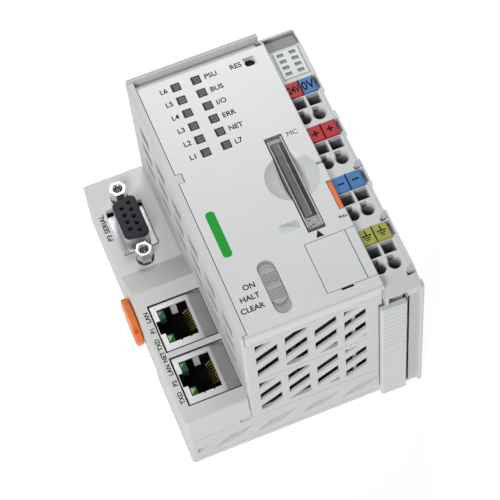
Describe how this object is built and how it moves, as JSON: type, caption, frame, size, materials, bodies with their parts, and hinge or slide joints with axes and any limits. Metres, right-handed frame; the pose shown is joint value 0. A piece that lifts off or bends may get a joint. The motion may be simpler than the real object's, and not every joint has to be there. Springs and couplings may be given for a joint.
{
  "type": "programmable logic controller",
  "caption": "Rail-mounted programmable controller: vented main box, low side section with network and serial ports, status windows and a column of push-in terminals.",
  "frame": {"origin": "middle of the footprint box, locking disc and latch included, on the rear plane that the module rests on", "axes": "+X towards the terminal section, +Y towards the top end with the status windows, +Z out of the front face"},
  "size_m": [0.082, 0.102, 0.0719],
  "materials": {
    "housing": "fine matt light grey moulding",
    "cover": "light grey front mouldings",
    "terminal_plastic": "light grey terminal moulding",
    "carrier": "darker grey plate",
    "window": "smoked light guides",
    "orange": "orange acetal",
    "clear": "clear polycarbonate",
    "black_plastic": "black glass-filled nylon",
    "dark_plastic": "dark grey clamp carrier",
    "slate_plastic": "dark slate insulator",
    "socket_plastic": "off-white nylon",
    "steel": "zinc-plated steel",
    "nickel": "bright nickel plating",
    "tinned": "tinned sheet steel",
    "gold": "gold-plated contacts",
    "copper": "tinned copper",
    "green_light": "green light guides",
    "milky": "milky light guide",
    "red_marker": "red marker",
    "blue_marker": "blue marker",
    "earth_marker": "yellow-green marker",
    "board": "green solder mask",
    "aluminium": "black-anodised heat sink",
    "can": "sleeved aluminium can",
    "ferrite": "ferrite and resin",
    "rubber_button": "grey plunger"
  },
  "bodies": {
    "housing": {"rear_housing": "housing", "connector_housing": "housing", "main_housing": "housing", "vented_ends": "housing", "front_cover": "cover", "led_windows": "window", "reset_switch": "black_plastic", "mode_switch": "black_plastic", "card_socket": "black_plastic", "flap_hinge_strip": "cover", "service_connector": "socket_plastic", "service_pins": "gold", "rail_earth_contact": "nickel", "serial_shell": "tinned", "serial_bracket": "black_plastic", "serial_insulator": "slate_plastic", "serial_contacts": "gold", "hex_standoffs": "nickel", "terminal_housing": "terminal_plastic", "terminal_side_cover": "housing", "marker_carrier": "carrier", "light_guide_block": "milky", "markers_red": "red_marker", "markers_blue": "blue_marker", "markers_earth": "earth_marker", "spring_clamps": "steel", "busbars": "copper", "power_jumper_contacts": "copper", "data_contacts": "gold", "clamp_carrier": "dark_plastic", "vent_baffles": "black_plastic", "front_board": "board", "main_board": "board", "power_board": "board", "connector_board": "board", "board_screws": "steel", "processor": "black_plastic", "heat_sink": "aluminium", "memory_chips": "black_plastic", "capacitors": "can", "inductor": "ferrite", "transformers": "ferrite", "board_connectors": "black_plastic", "jack_shell_x1": "tinned", "jack_insert_x1": "black_plastic", "jack_contacts_x1": "gold", "jack_leds_x1": "green_light", "jack_shell_x2": "tinned", "jack_insert_x2": "black_plastic", "jack_contacts_x2": "gold", "jack_leds_x2": "green_light"},
    "disc": {"locking_disc": "orange"},
    "claw": {"rail_claw": "steel"},
    "lid": {"card_cover": "clear"},
    "flap": {"service_flap": "cover"},
    "knob": {"mode_slider": "cover"},
    "reset": {"reset_button": "rubber_button"},
    "latch": {"side_latch": "terminal_plastic"},
    "tab": {"release_tab": "orange"}
  },
  "joints": [
    {"name": "disc_turn", "type": "hinge", "parent": "housing", "child": "disc", "pos_m": [-0.0394, 0.0012, 0.0109], "axis": [1, 0, 0], "range_deg": [0, 90]},
    {"name": "claw_slide", "type": "slide", "parent": "housing", "child": "claw", "axis": [0, -1, 0], "range_m": [0, 0.00283]},
    {"name": "lid_hinge", "type": "hinge", "parent": "housing", "child": "lid", "pos_m": [0.0179, 0.0114, 0.0707], "axis": [-1, 0, 0], "range_deg": [0, 100]},
    {"name": "flap_hinge", "type": "hinge", "parent": "housing", "child": "flap", "pos_m": [0.0254, -0.0356, 0.0714], "axis": [0, 1, 0], "range_deg": [0, 110]},
    {"name": "mode_slide", "type": "slide", "parent": "housing", "child": "knob", "axis": [0, 1, 0], "range_m": [-0.0031, 0.0024]},
    {"name": "reset_push", "type": "slide", "parent": "housing", "child": "reset", "axis": [0, 0, -1], "range_m": [0, 0.0005], "stiffness_N_per_m": 500, "springref_m": -0.0006},
    {"name": "latch_flex", "type": "hinge", "parent": "housing", "child": "latch", "pos_m": [0.03145, -0.0496, 0.001], "axis": [-1, 0, 0], "range_deg": [0, 1.4], "stiffness_Nm_per_rad": 4},
    {"name": "tab_pull", "type": "slide", "parent": "housing", "child": "tab", "axis": [0, 0, 1], "range_m": [0, 0.003], "stiffness_N_per_m": 600, "springref_m": -0.001}
  ],
  "couplings": [
    {"joint": "disc_turn", "follows": "claw_slide", "rad_per_m": 555.36}
  ]
}
